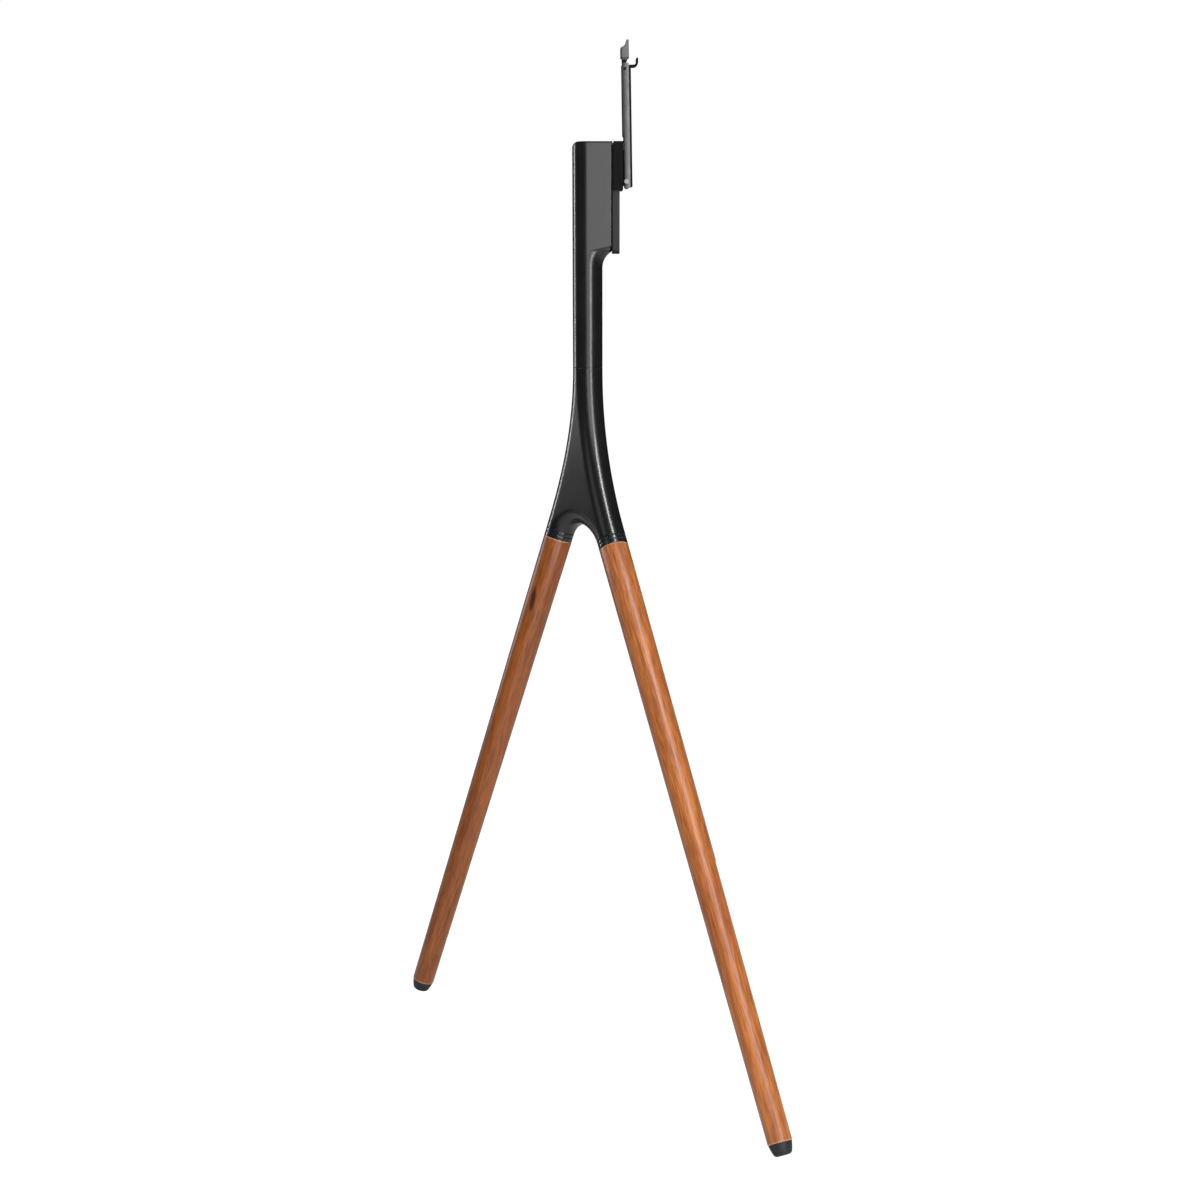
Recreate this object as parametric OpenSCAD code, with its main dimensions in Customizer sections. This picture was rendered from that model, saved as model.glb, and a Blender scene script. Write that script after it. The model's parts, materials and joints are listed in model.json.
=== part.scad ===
// Tripod floor stand: three turned wooden legs, a cast Y hub, a column with a
// height rail, and a tilting hook bar for a flat display.
// The display side faces +X. The floor is z = 0.

/* [Legs] */
// Height of the upper end of the wood above the floor
leg_top_z = 707; // [650:1:760]
// Radius of the wood at its upper end
leg_top_r = 21; // [19:0.5:24]
// Radius of the wood at its lower end
leg_low_r = 16.1; // [14.5:0.1:18]
// Lean of the front legs from vertical, in degrees
front_tilt = 34.4; // [30:0.1:38]
// Heading of the front legs from straight ahead, in degrees
front_turn = 65.6; // [60:0.1:70]
// Lean of the rear leg from vertical, in degrees
rear_tilt = 17.1; // [14:0.1:20]
// Distance of the front leg tops ahead of the column axis
front_top_x = 34.6; // [30:0.1:40]
// Distance of the front leg tops to each side of the column axis
front_top_y = 95.3; // [88:0.1:105]
// Distance of the rear leg top behind the column axis
rear_top_x = 44.4; // [40:0.1:50]
// Chamfer on the ends of the wood
leg_chamfer = 0.8; // [0.4:0.1:1.5]

/* [Collars] */
// Length of each collar along its leg
collar_len = 13; // [10:0.5:16]
// Depth of the groove between the two bands
collar_groove = 1; // [0.5:0.1:1.5]
// Radius of the stud that joins a leg to the hub
stud_r = 5; // [4:0.5:6]
// Length of the stud inside the wood
stud_in_leg = 34; // [25:1:45]
// Length of the stud inside the hub
stud_in_hub = 24; // [18:1:28]
// Wall of the brass insert around the stud
insert_wall = 2; // [1.5:0.1:3]

/* [Feet] */
// Height of a rubber foot along its leg
foot_h = 15.5; // [13:0.5:18]
// Radius of a rubber foot at its lower end
foot_low_r = 12.6; // [11:0.1:14]
// Rounding of the lower edge of a foot
foot_round = 3; // [2:0.5:4]
// Depth of the flat patch where a foot meets the floor
foot_flat = 1; // [0.5:0.1:1.5]
// Radius of the foot screw
foot_screw_r = 2.5; // [2:0.1:3]
// Length of the foot screw in the wood
foot_screw_len = 30; // [20:1:40]

/* [Hub and column] */
// Radius of the column and of the hub's upper end
column_r = 21.4; // [20:0.1:23]
// Height of the hub from the leg tops to the column seam
hub_h = 250; // [230:1:280]
// Length of the column from the seam to the lower front corner of the head
column_len = 164; // [140:1:200]
// Height of the head's front face
head_h = 152; // [150:1:180]
// Distance of the head's front face ahead of the column axis
head_front_x = 34.5; // [31:0.1:36]
// Radius of the hollow curve under the head
head_cove_r = 26; // [22:1:30]
// Rounding of the head's upper rear corner
head_round = 8; // [4:0.5:10]
// Wall of the column and of the head
column_wall = 4; // [3:0.1:5]
// Thickness of the top cap
cap_t = 2; // [1.5:0.1:3]
// Depth of the column joint on each side of the seam
spigot_depth = 60; // [40:1:70]
// Wall of the joining tube
spigot_wall = 3.5; // [2.5:0.1:5]

/* [Height rail] */
// Width of the rail
rail_w = 40; // [36:0.5:42]
// Depth of the rail from back to front
rail_d = 9.8; // [9:0.1:11]
// Gap between head and rail, filled by the spacer
rail_gap = 1; // [0.5:0.1:3]
// Width of the slot between the rail's lips
rail_slot_w = 16; // [12:0.5:18]
// Thickness of the rail's end cap
rail_cap_t = 4; // [3:0.5:5]

/* [Carriage] */
// Height of the carriage
carriage_h = 67; // [60:1:70]
// Thickness of the carriage's front plate
carriage_t = 4.3; // [4:0.1:5]
// Thickness of the carriage's cheeks
cheek_t = 4.4; // [3:0.1:6]
// Working clearance of the carriage on the rail
slide_gap = 0.4; // [0.35:0.05:0.6]

/* [Hook bar] */
// Lean of the bar behind vertical, in degrees
bar_lean = 1; // [0:0.1:1.2]
// Height of the tilt pin above the carriage's lower edge
pivot_rise = 12; // [10:0.5:14]
// Distance of the tilt pin ahead of the carriage's front face
pivot_gap = 5.3; // [5.2:0.1:5.6]
// Depth of the channel ahead of the tilt pin
bar_ahead = 5.1; // [5:0.1:6]
// Depth of the channel behind the tilt pin, above the carriage
bar_behind = 4.1; // [3.8:0.1:4.3]
// Radius of the tilt pin
pivot_r = 2.5; // [2:0.1:2.6]
// Width of the channel
bar_w = 40; // [38:0.5:44]
// Height of the channel above the tilt pin
bar_top = 161; // [150:1:170]
// Length of the channel below the tilt pin
bar_foot = 9; // [8:0.5:9.5]
// Wall of the channel's flanges
flange_t = 2; // [1.5:0.1:2.5]
// Wall of the channel's web
web_t = 1.8; // [1.4:0.1:2]
// Thickness of the hook plate
plate_t = 3; // [2.5:0.1:3.5]
// Width of the hook
hook_w = 16; // [12:0.5:24]
// Clear gap inside the hook
hook_gap = 8; // [5:0.1:9]
// Height of the hook's tip above its floor
hook_rise = 9.5; // [8:0.1:12]
// Radius of the two fixing holes in the bar
fixing_r = 3.2; // [2.6:0.1:3.3]
// Spacing of the two fixing holes
fixing_pitch = 75; // [70:1:78]
// Width of the release tab
tab_w = 24; // [18:0.5:28]

/* [Hidden] */
$fn = 64;
eps = 0.01;
// Clearance of a fixed piece in its seat, and of a turning pin in its bush
fit = 0.05;
// Clearance between pieces that move past each other
free = 0.4;

// Points along an arc, both ends included
function arc(centre, r, a0, a1, steps = 10) =
    [for (n = [0:steps]) let (a = a0 + (a1 - a0) * n / steps) centre + r * [cos(a), sin(a)]];

// Legs in the order left, right, rear: heading, lean and upper end
leg_az = [front_turn, -front_turn, 180];
leg_tilt = [front_tilt, front_tilt, rear_tilt];
leg_top = [
    [front_top_x, front_top_y, leg_top_z],
    [front_top_x, -front_top_y, leg_top_z],
    [-rear_top_x, 0, leg_top_z]
];
// Step from the wood in to the foot
foot_step = 0.6;
foot_top_r = leg_low_r - foot_step;
// Height of the wood's lower end that brings the foot's flat patch to the floor
function low_z(tilt) = (foot_h - foot_round) * cos(tilt)
    + (foot_low_r - foot_round) * sin(tilt) + foot_round - foot_flat;
function leg_len(i) = (leg_top_z - low_z(leg_tilt[i])) / cos(leg_tilt[i]);
// Depth of the recess that holds the screw's head and washer
foot_recess = foot_h - 6;
foot_recess_r = 2 * foot_screw_r + 0.5;
foot_screw_head = 2.5;
foot_washer_t = 1;
// Unit vector up along a leg
function leg_dir(i) = [
    -sin(leg_tilt[i]) * cos(leg_az[i]),
    -sin(leg_tilt[i]) * sin(leg_az[i]),
    cos(leg_tilt[i])
];
// Farthest reach along X of the wood's end and of the foot's lower edge
function reach(i) =
    let (
        a = leg_dir(i),
        across = sqrt(1 - a[0] * a[0]),
        wood = leg_top[i] - (leg_len(i) - leg_chamfer) * a,
        rubber = leg_top[i] - (leg_len(i) + foot_h - foot_round) * a
    )
    max(
        abs(wood[0]) + (leg_low_r + leg_chamfer / leg_len(i) * (leg_top_r - leg_low_r)) * across,
        abs(rubber[0]) + (foot_low_r - foot_round) * across + foot_round
    );
// Offset of the column axis that centres the footprint on the origin
column_x = (reach(2) - reach(0)) / 2;

seam_z = leg_top_z + hub_h;
head_low_z = seam_z + column_len;
head_top_z = head_low_z + head_h;

// Hub branches: Bezier curves from the seam down to each collar
hub_pull_top = 90;
hub_pull = [90, 90, 75];
hub_sides = 24;
hub_rings = 12;
hub_low_r = leg_top_r + 0.1;
// Radius of the core hole below the spigot's seat
hub_core_r = 12;
function branch_points(i) = let (end = leg_top[i] + collar_len * leg_dir(i)) [
    [0, 0, seam_z],
    [0, 0, seam_z - hub_pull_top],
    end + hub_pull[i] * leg_dir(i),
    end
];
function bezier(p, t) = pow(1 - t, 3) * p[0] + 3 * pow(1 - t, 2) * t * p[1]
    + 3 * (1 - t) * t * t * p[2] + t * t * t * p[3];
function bezier_run(p, t) = pow(1 - t, 2) * (p[1] - p[0])
    + 2 * (1 - t) * t * (p[2] - p[1]) + t * t * (p[3] - p[2]);
function unit(v) = v / norm(v);
// One ring of a branch, square to its curve
function branch_ring(i, t) =
    let (
        p = branch_points(i),
        along = unit(bezier_run(p, t)),
        side = [-sin(leg_az[i]), cos(leg_az[i]), 0],
        out = unit(cross(side, along)),
        over = cross(along, out),
        r = column_r + t * (hub_low_r - column_r)
    )
    [for (k = [0:hub_sides - 1])
        bezier(p, t) + r * (cos(360 * k / hub_sides) * out + sin(360 * k / hub_sides) * over)];
// Webs between the branches: start and end along the curves, half thickness,
// and how far the lower edge arches up for each millimetre between branch ends
web_from = 0.25;
web_to = 0.97;
web_half = 19;
web_arch = 0.0003;
web_rings = 8;
web_steps = 8;

// Spigot between hub and column
spigot_r = column_r - column_wall;
spigot_screw_r = 2.5;
spigot_screw_z = [seam_z - spigot_depth / 2, seam_z + spigot_depth / 2];

// Cap on the head
cap_screw_r = 1.5;
cap_screw_x = [-10, 22];
cap_floor = 5;

// Head and rail, measured from the column axis
rail_back_x = head_front_x + rail_gap;
rail_front_x = rail_back_x + rail_d;
rail_wall = 3;
lip_t = 2;
rail_top_z = head_top_z - cap_t;
rail_low_z = head_low_z - 3;
rail_plug = 5;
rail_screw_r = 2.5;
rail_screw_head = 1.4;
rail_screw_z = [rail_low_z + 20, (rail_low_z + rail_top_z) / 2, rail_top_z - 20];
spacer_w = rail_w - 2;
notch_side = 1.6;
// Height and length of the index notches on the rail's front edges
notches = [[rail_low_z + 24, 5], [rail_low_z + 44, 14]];

// Carriage, hanging at the top of its travel
carriage_low_z = head_top_z - carriage_h;
carriage_back_x = rail_front_x + slide_gap;
carriage_x = carriage_back_x + carriage_t;
// Set-back of the cheeks from the back of the rail
cheek_back = 0.6;
cheek_y = rail_w / 2 + slide_gap;
height_screw_r = 3;
height_screw_z = [carriage_low_z + 34, carriage_low_z + 52];
height_washer_t = 1;
height_head_t = 2.4;
pivot_z = carriage_low_z + pivot_rise;
nut_t = rail_d - rail_wall - lip_t - 2 * slide_gap;
nut_z = [carriage_low_z + 6, carriage_low_z + 61];

// Tilt hinge
pivot_x = carriage_x + pivot_gap;
bush_wall = 0.8;
lug_r = 4.7;
washer_t = 1.2;
flange_y = bar_w / 2 - flange_t;
pad_w = 7;
pad_h = 9;
pad_gap = 0.3;
lug_out_y = flange_y - washer_t - 2 * fit;
lug_w = 7.6;
lug_in_y = lug_out_y - lug_w;

// Hook bar, drawn upright before it leans about the pin
// Cut-back that clears the carriage, its upper end, and the foot's rounding
bar_cut = 1.4;
bar_round = 3.6;
bar_front_x = pivot_x + bar_ahead;
bar_back_x = pivot_x - bar_behind;
bar_low_back_x = bar_back_x + bar_cut;
step_z = head_top_z + 10;
bar_top_z = pivot_z + bar_top;
bar_low_z = pivot_z - bar_foot;
web_low_z = pivot_z + 8;
plate_x = bar_front_x + plate_t;
plate_w = bar_w - 4;
plate_low_z = bar_low_z + 2;
plate_top_z = bar_top_z - 1.5;
hook_t = 3;
hook_bend = 4;
fixing_z = [head_top_z - 8, head_top_z - 8 + fixing_pitch];
plate_screw_r = 2;
plate_screw_head = 1.4;
plate_nut_t = 3.2;
pin_head_r = 3.5;
pin_head_t = 1.3;
tilt_nut_t = 3.4;
plate_screw_z = [head_top_z + 27, head_top_z + 87];

// Release tab at the top of the bar
tab_pin_r = 2;
tab_eye_r = 3.2;
tab_pin_x = bar_back_x + tab_eye_r + free;
tab_pin_z = bar_top_z - 8;
tab_low_z = bar_top_z + 8;
tab_neck_w = 16;

module at_column() {
    translate([column_x, 0, 0]) children();
}

// Frame of a leg: origin at the wood's upper end, +Z up along the leg
module on_leg(i) {
    at_column() translate(leg_top[i]) rotate([0, -leg_tilt[i], leg_az[i]]) children();
}

// Lean of the hook bar about the tilt pin
module in_bar() {
    at_column() translate([pivot_x, 0, pivot_z]) rotate([0, -bar_lean, 0])
        translate([-pivot_x, 0, -pivot_z]) children();
}

// Outline in the XZ plane, extruded to each side of the centre plane
module across(width) {
    rotate([90, 0, 0]) linear_extrude(height = width, center = true) children();
}

// Cylinder along X from x0 to x1
module rod_x(x0, x1, z, r, y = 0) {
    translate([x0, y, z]) rotate([0, 90, 0]) cylinder(h = x1 - x0, r = r);
}

// Cylinder along Y from y0 to y1
module rod_y(y0, y1, x, z, r) {
    translate([x, y0, z]) rotate([-90, 0, 0]) cylinder(h = y1 - y0, r = r);
}

module box(low, high) {
    translate(low) cube(high - low);
}

// ---- Legs ----

module leg(i) {
    len = leg_len(i);
    color("sienna") on_leg(i) difference() {
        rotate_extrude($fn = 96) polygon([
            [0, -len],
            [leg_low_r - leg_chamfer, -len],
            [leg_low_r, -len + leg_chamfer],
            [leg_top_r, -leg_chamfer],
            [leg_top_r - leg_chamfer, 0],
            [0, 0]
        ]);
        translate([0, 0, -stud_in_leg]) cylinder(h = stud_in_leg + 1, r = stud_r + insert_wall);
        translate([0, 0, -len - 1]) cylinder(h = foot_screw_len + 1, r = foot_screw_r);
    }
}

module collar(i) {
    band = 0.42 * collar_len;
    groove = 0.1 * collar_len;
    color("black") on_leg(i) difference() {
        rotate_extrude($fn = 96) polygon([
            [stud_r + fit, 0],
            [leg_top_r - 0.4, 0],
            [leg_top_r, 0.4],
            [leg_top_r, band],
            [leg_top_r - collar_groove, band + 0.4],
            [leg_top_r - collar_groove, band + groove],
            [leg_top_r, band + groove + 0.4],
            [leg_top_r, collar_len - 1.6],
            [leg_top_r - 1.2, collar_len - 1.2],
            [leg_top_r - 1.2, collar_len],
            [stud_r + fit, collar_len]
        ]);
    }
}

module foot(i) {
    color("dimgray") intersection() {
        on_leg(i) translate([0, 0, -leg_len(i)]) difference() {
            rotate_extrude($fn = 96) polygon(concat(
                [[0, -foot_h], [0, 0], [foot_top_r, 0]],
                arc([foot_low_r - foot_round, -foot_h + foot_round], foot_round, 0, -90, 6)
            ));
            translate([0, 0, -foot_h - 1]) cylinder(h = foot_h + 2, r = foot_screw_r + fit);
            translate([0, 0, -foot_h - 1]) cylinder(h = foot_recess + 1, r = foot_recess_r);
        }
        box([-600, -900, 0], [600, 900, 200]);
    }
}

module leg_studs() {
    color("silver") for (i = [0:2]) on_leg(i)
        translate([0, 0, -stud_in_leg + 1])
            cylinder(h = stud_in_leg + collar_len + stud_in_hub - 2, r = stud_r);
}

module leg_inserts() {
    color("goldenrod") for (i = [0:2]) on_leg(i) difference() {
        translate([0, 0, -stud_in_leg + 0.5]) cylinder(h = stud_in_leg - 1, r = stud_r + insert_wall - fit);
        translate([0, 0, -stud_in_leg]) cylinder(h = stud_in_leg + 1, r = stud_r + fit);
    }
}

// Screws sit in the recess under each foot
module foot_screws() {
    seat = foot_h - foot_recess + foot_washer_t + 2 * fit;
    color("silver") for (i = [0:2]) on_leg(i) translate([0, 0, -leg_len(i) - seat]) {
        cylinder(h = foot_screw_len + seat - 1, r = foot_screw_r - fit);
        translate([0, 0, -foot_screw_head]) cylinder(h = foot_screw_head + eps, r = foot_recess_r - 1);
    }
}

module foot_washers() {
    seat = foot_h - foot_recess + foot_washer_t + fit;
    color("gray") for (i = [0:2]) on_leg(i) translate([0, 0, -leg_len(i) - seat]) difference() {
        cylinder(h = foot_washer_t, r = foot_recess_r - 2 * fit);
        translate([0, 0, -1]) cylinder(h = foot_washer_t + 2, r = foot_screw_r + fit);
    }
}

// ---- Hub ----

module branch(i) {
    points = [for (n = [0:hub_rings]) each branch_ring(i, n / hub_rings)];
    n_side = hub_sides;
    walls = [for (n = [0:hub_rings - 1], k = [0:n_side - 1]) let (j = (k + 1) % n_side) [
        n * n_side + k, (n + 1) * n_side + k, (n + 1) * n_side + j, n * n_side + j
    ]];
    top = [for (k = [0:n_side - 1]) k];
    low = [for (k = [0:n_side - 1]) hub_rings * n_side + n_side - 1 - k];
    polyhedron(points = points, faces = concat(walls, [top, low]), convexity = 4);
}

// Web across the crotch between two branches: a slab with an arched lower edge
module web(i, j) {
    p = branch_points(i);
    q = branch_points(j);
    rise = web_arch * norm(p[3] - q[3]);
    grid = [for (m = [0:web_steps], n = [0:web_rings]) let (
        s = m / web_steps,
        low = web_to - rise * (1 - cos(360 * s)) / 2,
        t = web_from + (low - web_from) * n / web_rings,
        a = bezier(p, t),
        b = bezier(q, t),
        along = unit(bezier_run(p, t) + bezier_run(q, t))
    ) [a + s * (b - a), web_half * unit(cross(b - a, along))]];
    row = web_rings + 1;
    side = len(grid);
    faces = [for (m = [0:web_steps - 1], n = [0:web_rings - 1]) let (k = m * row + n)
        each [[k, k + row, k + row + 1, k + 1],
            [side + k, side + k + 1, side + k + row + 1, side + k + row]]];
    ends = [for (n = [0:web_rings - 1]) let (k = n, h = web_steps * row + n)
        each [[k, k + 1, side + k + 1, side + k], [h, side + h, side + h + 1, h + 1]]];
    edges = [for (m = [0:web_steps - 1]) let (k = m * row, h = k + web_rings)
        each [[k, side + k, side + k + row, k + row], [h, h + row, side + h + row, side + h]]];
    polyhedron(
        points = [each [for (g = grid) g[0] - g[1]], each [for (g = grid) g[0] + g[1]]],
        faces = concat(faces, ends, edges)
    );
}

module leg_hub() {
    color("#26272a") difference() {
        at_column() union() {
            for (i = [0:2]) branch(i);
            web(0, 1);
            web(1, 2);
            web(2, 0);
        }
        at_column() translate([0, 0, seam_z - spigot_depth - 0.5])
            cylinder(h = spigot_depth + 2, r = spigot_r);
        at_column() translate([0, 0, seam_z - 2 * spigot_depth])
            cylinder(h = 2 * spigot_depth, r = hub_core_r);
        for (i = [0:2]) on_leg(i)
            translate([0, 0, collar_len - 1]) cylinder(h = stud_in_hub + 1, r = stud_r + fit);
        at_column() rod_x(-40, 0, spigot_screw_z[0], spigot_screw_r + fit);
    }
}

module column_spigot() {
    color("gray") at_column() difference() {
        translate([0, 0, seam_z - spigot_depth]) cylinder(h = 2 * spigot_depth, r = spigot_r - fit);
        translate([0, 0, seam_z - spigot_depth - 1])
            cylinder(h = 2 * spigot_depth + 2, r = spigot_r - spigot_wall);
        for (z = spigot_screw_z) rod_x(-40, 0, z, spigot_screw_r + fit);
    }
}

module spigot_screws() {
    color("dimgray") at_column() for (z = spigot_screw_z)
        rod_x(-column_r + 0.6, -spigot_r + spigot_wall - 1, z, spigot_screw_r);
}

// ---- Column and head ----

// Side outline of column and head: rounded rear corner, cove under the head
module side_outline() {
    cove_x = column_r + head_cove_r;
    cove_a = acos((cove_x - head_front_x) / head_cove_r);
    cove_z = head_low_z - head_cove_r * sin(cove_a);
    polygon(concat(
        [[-column_r, seam_z], [column_r, seam_z]],
        arc([cove_x, cove_z], head_cove_r, 180, 180 - cove_a),
        [[head_front_x, head_top_z]],
        arc([-column_r + head_round, head_top_z - head_round], head_round, 90, 180)
    ));
}

// Plan outline of the head: round at the rear, flat sides
module head_plan(inset) {
    circle(r = column_r - inset);
    translate([0, -column_r + inset]) square([head_front_x - inset, 2 * (column_r - inset)]);
}

module column_solid() {
    intersection() {
        across(3 * column_r) side_outline();
        union() {
            translate([0, 0, seam_z]) cylinder(h = head_top_z - seam_z, r = column_r);
            translate([0, 0, head_low_z - 30]) linear_extrude(height = head_top_z - head_low_z + 30)
                head_plan(0);
        }
    }
}

module column() {
    hollow_top = head_top_z - cap_t - cap_floor;
    color("#26272a") at_column() difference() {
        intersection() {
            column_solid();
            translate([0, 0, seam_z - 1]) cylinder(h = head_top_z - cap_t - seam_z + 1, r = 3 * column_r);
        }
        translate([0, 0, seam_z - 1]) cylinder(h = hollow_top - seam_z, r = spigot_r);
        translate([0, 0, head_low_z + 4]) linear_extrude(height = hollow_top - head_low_z - 4)
            translate([0, -column_r + column_wall])
                square([head_front_x - column_wall, 2 * (column_r - column_wall)]);
        rod_x(-40, 0, spigot_screw_z[1], spigot_screw_r + fit);
        for (z = rail_screw_z) rod_x(head_front_x - column_wall - 1, head_front_x + 1, z, rail_screw_r);
        for (x = cap_screw_x) translate([x, 0, hollow_top - 1]) cylinder(h = cap_floor + 3, r = cap_screw_r);
    }
}

module head_cap() {
    color("black") at_column() difference() {
        intersection() {
            column_solid();
            translate([0, 0, head_top_z - cap_t]) cylinder(h = cap_t + 1, r = 3 * column_r);
        }
        for (x = cap_screw_x) translate([x, 0, head_top_z - cap_t - 1]) {
            cylinder(h = cap_t + 2, r = cap_screw_r + fit);
            translate([0, 0, cap_t]) cylinder(h = 2, r = 2 * cap_screw_r);
        }
    }
}

module cap_screws() {
    color("dimgray") at_column() for (x = cap_screw_x) {
        translate([x, 0, head_top_z - cap_t - cap_floor + 0.5])
            cylinder(h = cap_floor, r = cap_screw_r - fit);
        translate([x, 0, head_top_z - 1 + fit]) cylinder(h = 0.8, r = 2 * cap_screw_r - fit);
    }
}

// ---- Height rail ----

module rail_spacer() {
    color("black") at_column() difference() {
        box([head_front_x, -spacer_w / 2, rail_low_z + 4], [rail_back_x, spacer_w / 2, rail_top_z - 2]);
        for (z = rail_screw_z) rod_x(head_front_x - 1, rail_back_x + 1, z, rail_screw_r + fit);
    }
}

module height_rail() {
    inner = rail_w / 2 - rail_wall;
    face = rail_back_x + rail_wall;
    color("#46474a") at_column() difference() {
        box([rail_back_x, -rail_w / 2, rail_low_z + rail_cap_t], [rail_front_x, rail_w / 2, rail_top_z]);
        box([face, -inner, rail_low_z], [rail_front_x - lip_t, inner, rail_top_z + 1]);
        box([rail_front_x - lip_t - 1, -rail_slot_w / 2, rail_low_z],
            [rail_front_x + 1, rail_slot_w / 2, rail_top_z + 1]);
        for (z = rail_screw_z) {
            rod_x(rail_back_x - 1, face + 1, z, rail_screw_r + fit);
            rod_x(face - rail_screw_head, face + 1, z, 2 * rail_screw_r);
        }
        for (n = notches, side = [-1, 1]) translate([rail_front_x, side * rail_w / 2, n[0] + n[1] / 2])
            rotate([0, 0, 45]) cube([notch_side, notch_side, n[1]], center = true);
    }
}

module rail_screws() {
    face = rail_back_x + rail_wall;
    color("silver") at_column() for (z = rail_screw_z) {
        rod_x(head_front_x - column_wall - 2, face - 1, z, rail_screw_r - fit);
        rod_x(face - rail_screw_head, face - 0.1, z, 2 * rail_screw_r - fit);
    }
}

module rail_stop() {
    plug = rail_w / 2 - rail_wall - fit;
    color("black") at_column() {
        box([rail_back_x, -rail_w / 2, rail_low_z], [rail_front_x, rail_w / 2, rail_low_z + rail_cap_t]);
        box([rail_back_x + rail_wall + fit, -plug, rail_low_z + rail_cap_t - eps],
            [rail_front_x - lip_t - fit, plug, rail_low_z + rail_cap_t + rail_plug]);
    }
}

// ---- Carriage ----

module carriage() {
    color("#141415") at_column() difference() {
        union() {
            box([carriage_back_x, -cheek_y - cheek_t, carriage_low_z],
                [carriage_x, cheek_y + cheek_t, head_top_z]);
            for (side = [-1, 1]) {
                y0 = side * (cheek_y + cheek_t / 2) - cheek_t / 2;
                box([rail_back_x + cheek_back, y0, carriage_low_z], [carriage_x, y0 + cheek_t, head_top_z]);
                translate([0, side * (lug_in_y + lug_out_y) / 2, 0]) across(lug_w) {
                    translate([pivot_x, pivot_z]) circle(r = lug_r);
                    translate([carriage_x - 1, pivot_z - lug_r]) square([pivot_gap + 1, 2 * lug_r]);
                }
            }
        }
        rod_y(-bar_w, bar_w, pivot_x, pivot_z, pivot_r + bush_wall + fit);
        for (z = height_screw_z) rod_x(carriage_back_x - 1, carriage_x + 1, z, height_screw_r + 0.2);
    }
}

module slide_nut() {
    back = rail_back_x + rail_wall + slide_gap;
    half = rail_w / 2 - rail_wall - slide_gap;
    stem = rail_slot_w / 2 - slide_gap;
    color("silver") at_column() difference() {
        union() {
            box([back, -half, nut_z[0]], [back + nut_t, half, nut_z[1]]);
            box([back, -stem, nut_z[0]], [carriage_back_x, stem, nut_z[1]]);
        }
        for (z = height_screw_z) rod_x(back - 1, carriage_back_x + 1, z, height_screw_r + fit);
    }
}

module height_screws() {
    face = carriage_x + height_washer_t;
    color("silver") at_column() for (z = height_screw_z) {
        rod_x(rail_back_x + rail_wall + slide_gap, face + eps, z, height_screw_r);
        rod_x(face, face + height_head_t, z, height_screw_r + 2);
    }
}

module height_washers() {
    color("gray") at_column() for (z = height_screw_z) difference() {
        rod_x(carriage_x, carriage_x + height_washer_t, z, height_screw_r + 3);
        rod_x(carriage_x - 1, carriage_x + height_washer_t + 1, z, height_screw_r + fit);
    }
}

module tilt_bushes() {
    color("goldenrod") at_column() for (side = [-1, 1]) {
        y0 = min(side * lug_in_y, side * lug_out_y);
        difference() {
            rod_y(y0, y0 + lug_w, pivot_x, pivot_z, pivot_r + bush_wall);
            rod_y(y0 - 1, y0 + lug_w + 1, pivot_x, pivot_z, pivot_r + fit);
        }
    }
}

module tilt_washers() {
    color("gray") at_column() for (side = [-1, 1]) {
        y0 = side > 0 ? lug_out_y + fit : -lug_out_y - fit - washer_t;
        difference() {
            rod_y(y0, y0 + washer_t, pivot_x, pivot_z, lug_r - 0.2);
            rod_y(y0 - 1, y0 + washer_t + 1, pivot_x, pivot_z, pivot_r + fit);
        }
    }
}

// Rubber pads that the bar's flanges rest against
module stop_pads() {
    gap = pivot_gap - bar_behind + bar_cut - (head_top_z - pivot_z) * tan(bar_lean) - pad_gap;
    color("dimgray") at_column() for (side = [-1, 1])
        box([carriage_x, side * flange_y - pad_w / 2, head_top_z - pad_h - 3],
            [carriage_x + gap, side * flange_y + pad_w / 2, head_top_z - 3]);
}

// ---- Hook bar ----

// Side outline of the channel: cut back to clear the carriage, round at the foot
module bar_outline() {
    r = bar_round;
    polygon(concat(
        [[bar_back_x, bar_top_z], [bar_back_x, step_z], [bar_low_back_x, step_z - 3]],
        arc([bar_low_back_x + r, bar_low_z + r], r, 180, 270, 6),
        arc([bar_front_x - r, bar_low_z + r], r, 270, 360, 6),
        [[bar_front_x, bar_top_z]]
    ));
}

module tilt_channel() {
    color("#6a6b6e") in_bar() difference() {
        across(bar_w) bar_outline();
        box([bar_back_x - 1, -flange_y, bar_low_z - 1], [bar_front_x - web_t, flange_y, bar_top_z + 1]);
        box([bar_back_x, -flange_y, bar_low_z - 1], [bar_front_x + 1, flange_y, web_low_z]);
        rod_y(-bar_w, bar_w, pivot_x, pivot_z, pivot_r + fit);
        rod_y(-bar_w, bar_w, tab_pin_x, tab_pin_z, tab_pin_r + fit);
        for (z = fixing_z) rod_x(bar_back_x, bar_front_x + 1, z, fixing_r);
        for (z = plate_screw_z) rod_x(bar_back_x, bar_front_x + 1, z, plate_screw_r + fit);
    }
}

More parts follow.
